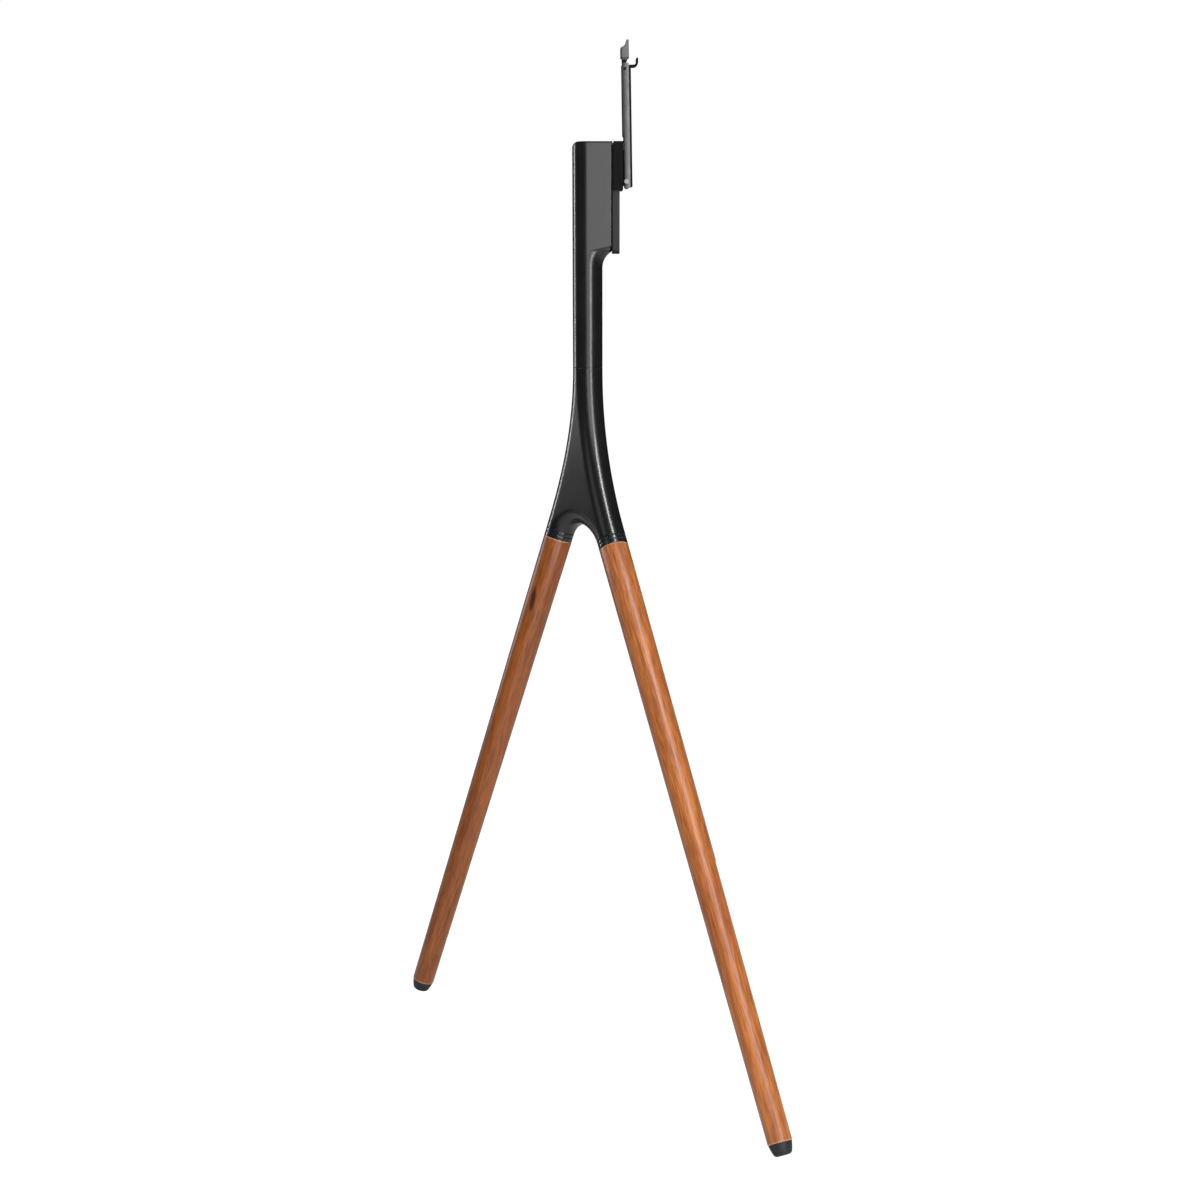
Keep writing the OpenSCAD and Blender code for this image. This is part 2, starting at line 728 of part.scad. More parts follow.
module hook_plate() {
    tip_x = plate_x + hook_gap;
    color("#1c1c1e") in_bar() difference() {
        union() {
            box([bar_front_x, -plate_w / 2, plate_low_z], [plate_x, plate_w / 2, plate_top_z - 4]);
            across(hook_w) {
                translate([bar_front_x, plate_top_z - 5]) square([plate_t, 5]);
                translate([plate_x, plate_top_z - hook_t]) square([hook_gap - hook_bend, hook_t]);
                translate([tip_x, plate_top_z + hook_bend])
                    square([hook_t, hook_rise - hook_t / 2 - hook_bend]);
                translate([tip_x + hook_t / 2, plate_top_z + hook_rise - hook_t / 2]) circle(d = hook_t);
                translate([tip_x - hook_bend, plate_top_z + hook_bend]) intersection() {
                    difference() {
                        circle(r = hook_bend + hook_t);
                        circle(r = hook_bend);
                    }
                    translate([0, -hook_bend - hook_t]) square(hook_bend + hook_t);
                }
            }
        }
        for (z = fixing_z) rod_x(bar_front_x - 1, plate_x + 1, z, fixing_r);
        for (z = plate_screw_z) {
            rod_x(bar_front_x - 1, plate_x + 1, z, plate_screw_r + fit);
            rod_x(plate_x - plate_screw_head, plate_x + 1, z, 2 * plate_screw_r);
        }
    }
}

module plate_screws() {
    color("silver") in_bar() for (z = plate_screw_z) {
        rod_x(bar_front_x - web_t - plate_nut_t - 1.8, plate_x - 1, z, plate_screw_r - fit);
        rod_x(plate_x - plate_screw_head, plate_x - 0.1, z, 2 * plate_screw_r - fit);
    }
}

module plate_nuts() {
    color("silver") in_bar() for (z = plate_screw_z) difference() {
        translate([bar_front_x - web_t - plate_nut_t, 0, z]) rotate([0, 90, 0])
            cylinder(h = plate_nut_t, r = 2 * plate_screw_r, $fn = 6);
        rod_x(bar_front_x - web_t - 4, bar_front_x, z, plate_screw_r);
    }
}

// Tilt pin: its domed head shows on the right flange
module tilt_pin() {
    color("gainsboro") at_column() {
        rod_y(-bar_w / 2 - fit - eps, bar_w / 2 + tilt_nut_t + 1.2, pivot_x, pivot_z, pivot_r);
        rod_y(-bar_w / 2 - pin_head_t, -bar_w / 2 - fit, pivot_x, pivot_z, pin_head_r);
    }
}

module tilt_nut() {
    color("silver") at_column() difference() {
        translate([pivot_x, bar_w / 2 + 2 * fit, pivot_z]) rotate([-90, 0, 0])
            cylinder(h = tilt_nut_t, r = pivot_r + 1.8, $fn = 6);
        rod_y(bar_w / 2 - 1, bar_w / 2 + 5, pivot_x, pivot_z, pivot_r + fit);
    }
}

// ---- Release tab ----

module release_pin() {
    color("dimgray") in_bar() rod_y(-bar_w / 2 + 0.2, bar_w / 2 - 0.2, tab_pin_x, tab_pin_z, tab_pin_r);
}

// Torsion spring around the release pin, beside the tab's neck
module release_spring() {
    coil_r = tab_pin_r + 0.7;
    wire_r = 0.5;
    color("silver") in_bar() translate([tab_pin_x, 0, tab_pin_z]) rotate([90, 0, 0]) for (n = [0:4])
        translate([0, 0, tab_neck_w / 2 + 1.6 + 1.1 * n]) rotate_extrude()
            translate([coil_r, 0]) circle(r = wire_r, $fn = 16);
}

// Side outline of the tab: round tail on the pin, barb over the hook, finger fin on top
module tab_outline() {
    front = bar_front_x + 1;
    back = bar_back_x - 1.2;
    polygon([
        [back, tab_low_z],
        [back, tab_low_z + 13.5],
        [back + 2.6, tab_low_z + 14.6],
        [back + 5.2, tab_low_z + 16.6],
        [back + 7, tab_low_z + 19.6],
        [back + 7.8, tab_low_z + 23.4],
        [back + 8.6, tab_low_z + 24],
        [front - 0.6, tab_low_z + 24],
        [front, tab_low_z + 23.4],
        [front, tab_low_z]
    ]);
}

module neck_outline() {
    front = bar_front_x - web_t - 2 * free;
    translate([tab_pin_x, tab_pin_z]) circle(r = tab_eye_r);
    polygon([
        [tab_pin_x - tab_eye_r, tab_pin_z],
        [tab_pin_x - tab_eye_r, tab_low_z + 1],
        [bar_front_x, tab_low_z + 1],
        [front, bar_top_z + 2],
        [front, tab_pin_z],
    ]);
}

module release_tab() {
    color("#7c7d80") in_bar() difference() {
        union() {
            across(tab_w) tab_outline();
            across(tab_neck_w) neck_outline();
        }
        rod_y(-bar_w, bar_w, tab_pin_x, tab_pin_z, tab_pin_r + fit);
    }
}

leg(0);  // front_left_leg
leg(1);  // front_right_leg
leg(2);  // rear_leg
collar(0);  // front_left_collar
collar(1);  // front_right_collar
collar(2);  // rear_collar
foot(0);  // front_left_foot
foot(1);  // front_right_foot
foot(2);  // rear_foot
leg_studs();
leg_inserts();
foot_screws();
foot_washers();
leg_hub();
column_spigot();
spigot_screws();
column();
head_cap();
cap_screws();
rail_spacer();
height_rail();
rail_screws();
rail_stop();
carriage();
slide_nut();
height_screws();
height_washers();
tilt_bushes();
tilt_washers();
stop_pads();
tilt_channel();
hook_plate();
plate_screws();
plate_nuts();
tilt_pin();
tilt_nut();
release_pin();
release_spring();
release_tab();
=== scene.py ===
import json
import math

import bmesh
import bpy
import numpy as np
from mathutils import Matrix, Vector
from mathutils.bvhtree import BVHTree


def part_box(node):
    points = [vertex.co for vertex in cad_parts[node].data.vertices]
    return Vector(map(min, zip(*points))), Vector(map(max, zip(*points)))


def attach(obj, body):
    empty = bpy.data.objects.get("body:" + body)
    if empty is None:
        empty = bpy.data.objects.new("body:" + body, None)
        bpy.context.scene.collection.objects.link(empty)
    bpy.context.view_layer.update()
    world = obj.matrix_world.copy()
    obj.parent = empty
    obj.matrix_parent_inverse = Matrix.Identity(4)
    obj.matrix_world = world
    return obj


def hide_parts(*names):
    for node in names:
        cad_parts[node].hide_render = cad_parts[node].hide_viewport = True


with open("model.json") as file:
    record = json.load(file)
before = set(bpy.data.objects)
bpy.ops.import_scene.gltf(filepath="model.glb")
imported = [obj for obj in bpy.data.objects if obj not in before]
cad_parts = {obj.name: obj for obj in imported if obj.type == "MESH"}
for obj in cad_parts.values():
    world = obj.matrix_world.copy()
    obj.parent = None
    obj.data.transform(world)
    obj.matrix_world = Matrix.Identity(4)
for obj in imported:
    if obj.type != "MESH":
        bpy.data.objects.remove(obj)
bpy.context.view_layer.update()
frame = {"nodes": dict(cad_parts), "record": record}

mm = 0.001
nodes = frame["nodes"]


# Shader maths: a socket that can be added, multiplied and so on
class Value:
    def __init__(self, shader, socket):
        self.shader = shader
        self.socket = socket

    def __add__(self, other):
        return self.shader.maths("ADD", self, other)

    def __sub__(self, other):
        return self.shader.maths("SUBTRACT", self, other)

    def __rsub__(self, other):
        return self.shader.maths("SUBTRACT", other, self)

    def __mul__(self, other):
        return self.shader.maths("MULTIPLY", self, other)

    def __truediv__(self, other):
        return self.shader.maths("DIVIDE", self, other)

    def __rtruediv__(self, other):
        return self.shader.maths("DIVIDE", other, self)

    def __pow__(self, other):
        return self.shader.maths("POWER", self, other)

    def __rpow__(self, other):
        return self.shader.maths("POWER", other, self)

    __radd__ = __add__
    __rmul__ = __mul__


class Shader:
    def __init__(self, name):
        self.material = bpy.data.materials.new(name)
        self.material.use_nodes = True
        self.tree = self.material.node_tree
        self.surface = self.tree.nodes["Principled BSDF"]

    def add(self, kind, settings, values, out=0):
        node = self.tree.nodes.new(kind)
        for key, setting in settings.items():
            setattr(node, key, setting)
        for key, value in values.items():
            self.plug(node.inputs[key], value)
        return Value(self, node.outputs[out])

    def plug(self, socket, value):
        if isinstance(value, Value):
            self.tree.links.new(value.socket, socket)
        elif isinstance(value, tuple) and len(value) == 3 and socket.type == "RGBA":
            socket.default_value = (*value, 1)
        else:
            socket.default_value = value

    def maths(self, operation, a, b):
        return self.add("ShaderNodeMath", {"operation": operation}, {0: a, 1: b})

    def vector(self, operation, a, b, out=0):
        return self.add("ShaderNodeVectorMath", {"operation": operation}, {0: a, 1: b}, out)

    def mix(self, factor, a, b):
        return self.add("ShaderNodeMix", {"data_type": "RGBA"}, {0: factor, 6: a, 7: b}, 2)

    def noise(self, place, scale, detail=3.0, rough=0.5):
        return self.add("ShaderNodeTexNoise", {}, {"Vector": place, "Scale": scale, "Detail": detail,
                                                    "Roughness": rough})

    def span(self, value, low, high, first=0.0, last=1.0):
        return self.add("ShaderNodeMapRange", {}, {0: value, 1: low, 2: high, 3: first, 4: last})

    def place(self):
        return self.add("ShaderNodeTexCoord", {}, {}, "Object")

    def along(self, place, axis):
        return self.add("ShaderNodeSeparateXYZ", {}, {0: place}, axis)

    def bump(self, height, strength, distance):
        return self.add("ShaderNodeBump", {}, {"Strength": strength, "Distance": distance, "Height": height})

    def finish(self, **sockets):
        for key, value in sockets.items():
            self.plug(self.surface.inputs[key.replace("_", " ")], value)
        return self.material


# Painted, moulded and plated finishes share one recipe: speckle, smears and a fine skin
def finishMaterial(name, look):
    s = Shader(name)
    place = s.place()
    smear = s.noise(place, look["smearScale"], 4.0, 0.6)
    skin = s.noise(place, look["skinScale"], 2.0)
    dark = tuple(c * look["shade"] for c in look["colour"])
    colour = s.mix(s.span(smear, 0.3, 0.7), dark, look["colour"])
    low, high = look["roughness"]
    return s.finish(
        Base_Color=colour,
        Roughness=s.span(smear * 0.6 + skin * 0.4, 0.3, 0.7, low, high),
        Metallic=look["metallic"],
        Coat_Weight=look.get("coat", 0.0),
        Coat_Roughness=look.get("coatRoughness", 0.2),
        Specular_IOR_Level=look.get("specular", 0.5),
        Normal=s.bump(skin, look["skin"], 0.4 * mm),
    )


finishes = {
    "black_casting": {
        "colour": (0.0095, 0.0095, 0.01), "shade": 0.85, "metallic": 0.0, "roughness": (0.22, 0.27),
        "smearScale": 14.0, "skinScale": 1400.0, "skin": 0.025, "specular": 0.55},
    "collar_black": {
        "colour": (0.008, 0.011, 0.017), "shade": 0.8, "metallic": 0.0, "roughness": (0.22, 0.3),
        "smearScale": 60.0, "skinScale": 900.0, "skin": 0.02, "coat": 0.2, "coatRoughness": 0.15},
    "foot_rubber": {
        "colour": (0.01, 0.012, 0.016), "shade": 0.7, "metallic": 0.0, "roughness": (0.5, 0.65),
        "smearScale": 80.0, "skinScale": 2200.0, "skin": 0.25},
    "black_steel": {
        "colour": (0.003, 0.003, 0.0032), "shade": 0.8, "metallic": 0.0, "roughness": (0.5, 0.6),
        "smearScale": 40.0, "skinScale": 1800.0, "skin": 0.15, "specular": 0.08},
    "grey_steel": {
        "colour": (0.06, 0.06, 0.061), "shade": 0.75, "metallic": 0.1, "roughness": (0.36, 0.48),
        "smearScale": 45.0, "skinScale": 1600.0, "skin": 0.12},
    "rail_metal": {
        "colour": (0.011, 0.011, 0.0115), "shade": 0.8, "metallic": 0.0, "roughness": (0.34, 0.46),
        "smearScale": 50.0, "skinScale": 1500.0, "skin": 0.1, "specular": 0.25},
    "bright_steel": {
        "colour": (0.24, 0.24, 0.235), "shade": 0.6, "metallic": 1.0, "roughness": (0.3, 0.42),
        "smearScale": 120.0, "skinScale": 1500.0, "skin": 0.05},
    "black_plastic": {
        "colour": (0.004, 0.004, 0.0042), "shade": 0.8, "metallic": 0.0, "roughness": (0.45, 0.6),
        "smearScale": 60.0, "skinScale": 2000.0, "skin": 0.2, "specular": 0.15},
    "brass": {
        "colour": (0.72, 0.5, 0.2), "shade": 0.8, "metallic": 1.0, "roughness": (0.28, 0.4),
        "smearScale": 90.0, "skinScale": 1400.0, "skin": 0.05},
}

# The rim colour and its bands at the wood's ends are a painted highlight
wood = {
    "light": (0.51, 0.17, 0.043), "deep": (0.26, 0.071, 0.018), "pore": (0.07, 0.02, 0.008),
    "rim": (0.6, 0.32, 0.18), "highlightWidth": 0.8 * mm, "highlightShare": 0.8, "roughness": (0.34, 0.46),
    "coat": 0.12, "coatRoughness": 0.3, "driftScale": 12.0, "driftStretch": 0.25, "drift": (0.02, 0.03),
    "stretch": 0.07, "bandScale": 80.0, "lineScale": 430.0,
    "poreScale": 700.0, "poreStretch": 0.05, "poreDepth": 0.35, "swirlScale": 260.0, "swirl": 0.9,
}


# Turned wood: its own z runs up the leg, so the grain does too
def woodMaterial(name, matrix, length, toneAndPaintedLight, knots):
    s = Shader(name)
    place = s.add("ShaderNodeMapping", {"vector_type": "TEXTURE"}, {
        "Vector": s.place(), "Location": tuple(matrix.translation), "Rotation": tuple(matrix.to_euler())})
    zed = s.along(place, 2)
    drift = s.noise(s.vector("MULTIPLY", place, (1, 1, wood["driftStretch"])), wood["driftScale"], 2.0)
    acrossX, acrossY = wood["drift"]
    shift = s.add("ShaderNodeCombineXYZ", {}, {0: drift * acrossX, 1: drift * acrossY, 2: 0.0})
    along = s.vector("MULTIPLY", s.vector("ADD", place, shift), (1, 1, wood["stretch"]))
    band = s.noise(along, wood["bandScale"], 3.0, 0.6)
    line = s.noise(along, wood["lineScale"], 4.0, 0.65)
    pore = s.noise(s.vector("MULTIPLY", place, (1, 1, wood["poreStretch"])), wood["poreScale"], 1.0)
    # The tone scales both wood colours; it carries painted light and shade as well as the wood's own tone
    light = tuple(c * t for c, t in zip(wood["light"], toneAndPaintedLight))
    deep = tuple(c * t for c, t in zip(wood["deep"], toneAndPaintedLight))
    colour = s.mix(s.span(band * 0.4 + line * 0.6, 0.4, 0.6), deep, light)
    colour = s.mix(s.span(pore, 0.56, 0.68, 0.0, wood["poreDepth"]), colour, wood["pore"])
    for knot in knots:
        facing = (math.cos(knot["turn"]), math.sin(knot["turn"]), 0.0)
        beside = (-facing[1], facing[0], 0.0)
        front = s.span(s.vector("DOT_PRODUCT", place, facing, 1), 4 * mm, 8 * mm)
        side = s.vector("DOT_PRODUCT", place, beside, 1) + (zed - knot["height"]) * knot["slant"]
        swirl = s.noise(place, wood["swirlScale"], 3.0) * wood["swirl"]
        spread = (side / knot["width"]) ** 2.0 + ((zed - knot["height"]) / knot["length"]) ** 2.0 + swirl
        colour = s.mix(s.span(spread, 0.7, 1.5, knot["depth"], 0.0) * front, colour, knot["colour"])
    # Painted highlight: lighter bands at both ends of the wood, where the eased edge catches the light
    rim = s.span(zed, wood["highlightWidth"], 2.0 * wood["highlightWidth"], wood["highlightShare"], 0.0)
    rim = rim + s.span(zed, length - 2.0 * wood["highlightWidth"], length - wood["highlightWidth"], 0.0, wood["highlightShare"])
    colour = s.mix(rim, colour, wood["rim"])
    low, high = wood["roughness"]
    return s.finish(
        Base_Color=colour,
        Roughness=s.span(line, 0.3, 0.7, low, high),
        Coat_Weight=wood["coat"],
        Coat_Roughness=wood["coatRoughness"],
        Normal=s.bump(line * 0.5 + pore * 0.5, 0.18, 0.3 * mm),
    )


materials = {name: finishMaterial(name, look) for name, look in finishes.items()}
slotOf = {part["node"]: part["material_slot"] for part in frame["record"]["subparts"]}
bodyOf = {node: body for body, names in frame["record"]["behaviour"]["bodies"].items() for node in names}
print("finishes made")


# Object from points and faces, riding where its CAD node rides and standing for it
def piece(name, points, faces, node, material=None, matrix=None, sharp=35.0):
    mesh = bpy.data.meshes.new(name)
    mesh.from_pydata([tuple(p) for p in points], [], faces)
    if matrix is not None:
        mesh.transform(matrix)
    return settle(name, mesh, node, material, sharp)


def settle(name, mesh, node, material=None, sharp=35.0):
    shell = bmesh.new()
    shell.from_mesh(mesh)
    bmesh.ops.recalc_face_normals(shell, faces=shell.faces)
    shell.to_mesh(mesh)
    shell.free()
    mesh.shade_smooth()
    mesh.set_sharp_from_angle(angle=math.radians(sharp))
    thing = bpy.data.objects.new(name, mesh)
    bpy.context.collection.objects.link(thing)
    mesh.materials.append(material or materials[slotOf[node]])
    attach(thing, bodyOf[node])
    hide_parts(node)
    return thing


def bevel(thing, width):
    edge = thing.modifiers.new("edge", "BEVEL")
    edge.width = width
    edge.segments = 2
    edge.limit_method = "ANGLE"
    edge.angle_limit = math.radians(35)
    edge.use_clamp_overlap = True
    edge.harden_normals = True
    return thing


# Rings of equal length joined into walls, with both ends closed
def loftFaces(count, size):
    faces = []
    for ring in range(count - 1):
        for k in range(size):
            j = (k + 1) % size
            faces.append((ring * size + k, ring * size + j, (ring + 1) * size + j, (ring + 1) * size + k))
    faces.append(tuple(reversed(range(size))))
    faces.append(tuple(range((count - 1) * size, count * size)))
    return faces


turnSteps = 96


def lathePoints(profile):
    turns = [2 * math.pi * k / turnSteps for k in range(turnSteps)]
    return [(r * math.cos(t), r * math.sin(t), z) for r, z in profile for t in turns]


def lathe(name, profile, node, matrix, material=None):
    points = lathePoints(profile)
    return piece(name, points, loftFaces(len(profile), turnSteps), node, material, matrix)


def arc(cx, cy, r, start, end, steps=8):
    turns = [math.radians(start + (end - start) * k / steps) for k in range(steps + 1)]
    return [(cx + r * math.cos(t), cy + r * math.sin(t)) for t in turns]


# CAD node's own mesh, welded, with its edges softened
def softened(name, node, width):
    shell = bmesh.new()
    shell.from_mesh(nodes[node].data)
    bmesh.ops.remove_doubles(shell, verts=shell.verts, dist=0.002 * mm)
    bmesh.ops.dissolve_limit(shell, angle_limit=math.radians(0.6), verts=shell.verts, edges=shell.edges)
    mesh = bpy.data.meshes.new(name)
    shell.to_mesh(mesh)
    shell.free()
    mesh.materials.clear()
    return bevel(settle(name, mesh, node), width)


def cadPoints(node):
    flat = np.empty(len(nodes[node].data.vertices) * 3)
    nodes[node].data.vertices.foreach_get("co", flat)
    return flat.reshape(-1, 3)


# Frame of a leg: origin at the wood's lower end, z up the leg, x outwards
def legFrame(node):
    points = cadPoints(node)
    spread = points - points.mean(0)
    axis = np.linalg.eigh(spread.T @ spread)[1][:, 2]
    axis *= np.sign(axis[2])
    for _ in range(2):
        height = points @ axis
        low = points[height < height.min() + 0.2 * mm].round(6)
        high = points[height > height.max() - 0.2 * mm].round(6)
        base, top = (low.max(0) + low.min(0)) / 2, (high.max(0) + high.min(0)) / 2
        axis = (top - base) / np.linalg.norm(top - base)
    out = np.array([-axis[0], -axis[1], 0.0])
    out -= axis * (out @ axis)
    out /= np.linalg.norm(out)
    side = np.cross(axis, out)
    matrix = Matrix([[out[i], side[i], axis[i], base[i]] for i in range(3)] + [[0, 0, 0, 1]])
    return matrix, float(np.linalg.norm(top - base))


def radii(node, matrix):
    local = np.array([matrix.inverted() @ Vector(p) for p in cadPoints(node)])
    return local, np.hypot(local[:, 0], local[:, 1])


# Turned legs, each with its own tone and knots; a knot's place is a turn about the leg and a height up it.
# The tones mix the wood's own differences with painted light: the rear leg is darkened as painted shade,
# front_right lightened as painted light
legLooks = {
    "front_left": {"toneAndPaintedLight": (1.0, 1.0, 1.0), "knots": []},
    "front_right": {"toneAndPaintedLight": (1.12, 1.1, 1.05), "knots": [
        {"turn": math.radians(-60), "height": 310 * mm, "length": 10 * mm, "width": 1.6 * mm, "slant": 0.1,
         "depth": 0.4, "colour": (0.16, 0.04, 0.015)}]},
    "rear": {"toneAndPaintedLight": (0.64, 0.54, 0.27), "knots": [
        {"turn": math.radians(60), "height": 627 * mm, "length": 24 * mm, "width": 4.6 * mm, "slant": 0.1,
         "depth": 0.9, "colour": (0.035, 0.007, 0.008)},
        {"turn": math.radians(100), "height": 605 * mm, "length": 10 * mm, "width": 1.4 * mm, "slant": 0.1,
         "depth": 0.6, "colour": (0.04, 0.012, 0.008)}]},
}
legEnds = {"ease": 0.7 * mm, "steps": 12, "within": 2 * mm, "inset": 0.03 * mm}
legMatrix, legTopR = {}, {}


def turnLeg(leg, look):
    matrix, length = legFrame(leg + "_leg")
    local, reach = radii(leg + "_leg", matrix)
    lowR = reach[local[:, 2] < legEnds["within"]].max() - legEnds["inset"]
    topR = reach[local[:, 2] > length - legEnds["within"]].max()
    legMatrix[leg], legTopR[leg] = matrix, topR
    ease, steps = legEnds["ease"], legEnds["steps"]
    turns = [math.pi / 6, math.pi / 3, math.pi / 2]
    wall = [(lowR - ease, 0.0)]
    wall += [(lowR - ease * (1 - math.sin(t)), ease * (1 - math.cos(t))) for t in turns]
    for k in range(1, steps + 1):
        wall.append((lowR + (topR - lowR) * k / steps, ease + (length - 2 * ease) * k / steps))
    wall += [(topR - ease * (1 - math.cos(t)), length - ease * (1 - math.sin(t))) for t in turns]
    material = woodMaterial(leg + "_wood", matrix, length, look["toneAndPaintedLight"], look["knots"])
    lathe(leg + "_turned_leg", wall, leg + "_leg", matrix, material)


for leg, look in legLooks.items():
    turnLeg(leg, look)
print("legs turned")

# Collar bands, as radius steps in from the wood and heights along the leg
collar = {"lip": 0.5 * mm, "groove": 1.1 * mm, "grooveAt": 0.47, "grooveTall": 1.0 * mm, "neck": 1.3 * mm,
          "neckTall": 1.1 * mm, "ledge": 3 * mm}


def turnCollar(leg, matrix):
    local, reach = radii(leg + "_collar", matrix)
    bottom, top, r = local[:, 2].min(), local[:, 2].max(), reach.max()
    lip, tall, deep = collar["lip"], collar["grooveTall"], collar["groove"]
    low = bottom + collar["grooveAt"] * (top - bottom)
    high = top - collar["neckTall"]
    shape = [(r - collar["ledge"], bottom)]
    shape += arc(r - lip, bottom + lip, lip, -90, 0, 4)
    shape += arc(r - lip, low - lip, lip, 0, 90, 4)
    shape += [(r - deep, low), (r - deep, low + tall)]
    shape += arc(r - lip, low + tall + lip, lip, -90, 0, 4)
    shape += arc(r - lip, high - lip, lip, 0, 90, 4)
    shape += [(r - collar["neck"], high), (r - collar["neck"], top)]
    lathe(leg + "_collar_bands", shape, leg + "_collar", matrix)


for leg, matrix in legMatrix.items():
    turnCollar(leg, matrix)
print("collars turned")

# Rubber foot: a soft cup with slightly full sides, cut flat where it stands
foot = {"round": 5.0 * mm, "topEase": 0.6 * mm, "full": 0.35 * mm, "topInset": 0.1 * mm,
        "lowInset": 0.05 * mm, "lowShare": 0.75, "sideSteps": 5}


def mouldFoot(leg, matrix):
    local, reach = radii(leg + "_foot", matrix)
    end = local[:, 2].min()
    ease, corner = foot["topEase"], foot["round"]
    wide = reach.max() - foot["topInset"]
    lowR = reach[local[:, 2] < end * foot["lowShare"]].max() - foot["lowInset"]
    taper = -math.degrees(math.atan((wide - lowR) / (-end - corner)))
    upper = [(wide - ease, 0.0)] + arc(wide - ease, -ease, ease, 60, 0, 3)
    lower = arc(lowR - corner, end + corner, corner, taper, -90, 8)
    (topX, topZ), (lowX, lowZ) = upper[-1], lower[0]
    side = []
    for k in range(1, foot["sideSteps"]):
        share = k / foot["sideSteps"]
        swell = foot["full"] * math.sin(math.pi * share)
        side.append((topX + (lowX - topX) * share + swell, topZ + (lowZ - topZ) * share))
    profile = upper + side + lower
    mesh = bpy.data.meshes.new(leg + "_rubber_foot")
    mesh.from_pydata(lathePoints(profile), [], loftFaces(len(profile), turnSteps))
    mesh.transform(matrix)
    shell = bmesh.new()
    shell.from_mesh(mesh)
    everything = shell.verts[:] + shell.edges[:] + shell.faces[:]
    cut = bmesh.ops.bisect_plane(shell, geom=everything, plane_co=(0, 0, 0), plane_no=(0, 0, 1),
                                 clear_inner=True)
    rim = [e for e in cut["geom_cut"] if isinstance(e, bmesh.types.BMEdge)]
    bmesh.ops.holes_fill(shell, edges=rim)
    shell.to_mesh(mesh)
    shell.free()
    settle(leg + "_rubber_foot", mesh, leg + "_foot")


for leg, matrix in legMatrix.items():
    mouldFoot(leg, matrix)
print("feet moulded")

# Column axis and heights, from the frame
spigotLow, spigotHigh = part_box("column_spigot")
axisX = (spigotLow[0] + spigotHigh[0]) / 2
columnLow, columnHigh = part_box("column")
seamZ = columnLow[2]
columnR = (columnHigh[1] - columnLow[1]) / 2
frontX = columnHigh[0] - axisX
capLow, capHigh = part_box("head_cap")
headTop = capHigh[2]

# Hub: three arms on curves from the seam to the collars, joined by webs with arched lower edges
hub = {"pullTop": 90 * mm, "pull": {"front_left": 90 * mm, "front_right": 90 * mm, "rear": 75 * mm},
       "arch": 1.35, "archPower": 0.9, "webSteps": 32, "webRows": 26, "armGrow": 0.1 * mm, "blend": 12 * mm,
       "coreHigh": 850 * mm, "coreLow": 790 * mm, "coreX": -7 * mm, "coreR": 17 * mm,
       "cell": 2.6 * mm, "overrun": 8 * mm, "rim": 0.35 * mm, "endReach": 45 * mm}


def bezier(p, t):
    t = np.asarray(t)[..., None]
    return (1 - t) ** 3 * p[0] + 3 * (1 - t) ** 2 * t * p[1] + 3 * (1 - t) * t * t * p[2] + t ** 3 * p[3]


def branchCurve(leg):
    matrix = legMatrix[leg]
    local = radii(leg + "_collar", matrix)[0]
    up = np.array(matrix.to_3x3() @ Vector((0, 0, 1)))
    end = np.array(matrix @ Vector((0, 0, float(local[:, 2].max()))))
    start = np.array([axisX, 0, seamZ])
    return [start, start - [0, 0, hub["pullTop"]], end + hub["pull"][leg] * up, end], up


curves = {leg: branchCurve(leg) for leg in legMatrix}
armR = legTopR["rear"] + hub["armGrow"]


# Mid-surface of the three webs, each with an arched lower edge
def webSheet():
    points, faces = [], []
    names = list(curves)
    rows, steps = hub["webRows"], hub["webSteps"]
    for a in range(3):
        p, q = curves[names[a]][0], curves[names[(a + 1) % 3]][0]
        rise = hub["arch"] * np.linalg.norm(p[3] - q[3])
        first = len(points)
        for m in range(steps + 1):
            share = (1 - math.cos(math.pi * m / steps)) / 2
            low = 1.0 - rise * math.sin(math.pi * m / steps) ** hub["archPower"]
            for n in range(rows + 1):
                t = low * n / rows
                points.append(tuple(bezier(p, t) * (1 - share) + bezier(q, t) * share))
        for m in range(steps):
            for n in range(rows):
                k = first + m * (rows + 1) + n
                faces.append((k, k + 1, k + rows + 2))
                faces.append((k, k + rows + 2, k + rows + 1))
    return BVHTree.FromPolygons([Vector(p) for p in points], faces)


sheet = webSheet()


def lineDistance(points, line):
    best = np.full(len(points), 9.0)
    for a, b in zip(line[:-1], line[1:]):
        along = b - a
        share = np.clip(((points - a) @ along) / (along @ along), 0, 1)
        best = np.minimum(best, np.linalg.norm(points - a - share[:, None] * along, axis=1))
    return best


def softMin(a, b, k):
    h = np.clip(0.5 + 0.5 * (b - a) / k, 0, 1)
    return b + (a - b) * h - k * h * (1 - h)


def hubDistance(points):
    near = np.array([sheet.find_nearest(Vector(p))[3] for p in points])
    for curve, up in curves.values():
        line = bezier(curve, np.linspace(0, 1, 25))
        line = np.vstack([line[0] + [0, 0, hub["overrun"]], line, line[-1] - hub["overrun"] * up])
        near = np.minimum(near, lineDistance(points, line))
    share = np.clip((seamZ - points[:, 2]) / (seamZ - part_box("leg_hub")[0][2]), 0, 1)
    shell = near - columnR - (armR - columnR) * share
    core = np.array([[axisX, 0, hub["coreHigh"]], [axisX + hub["coreX"], 0, hub["coreLow"]]])
    return softMin(shell, lineDistance(points, core) - hub["coreR"], hub["blend"])


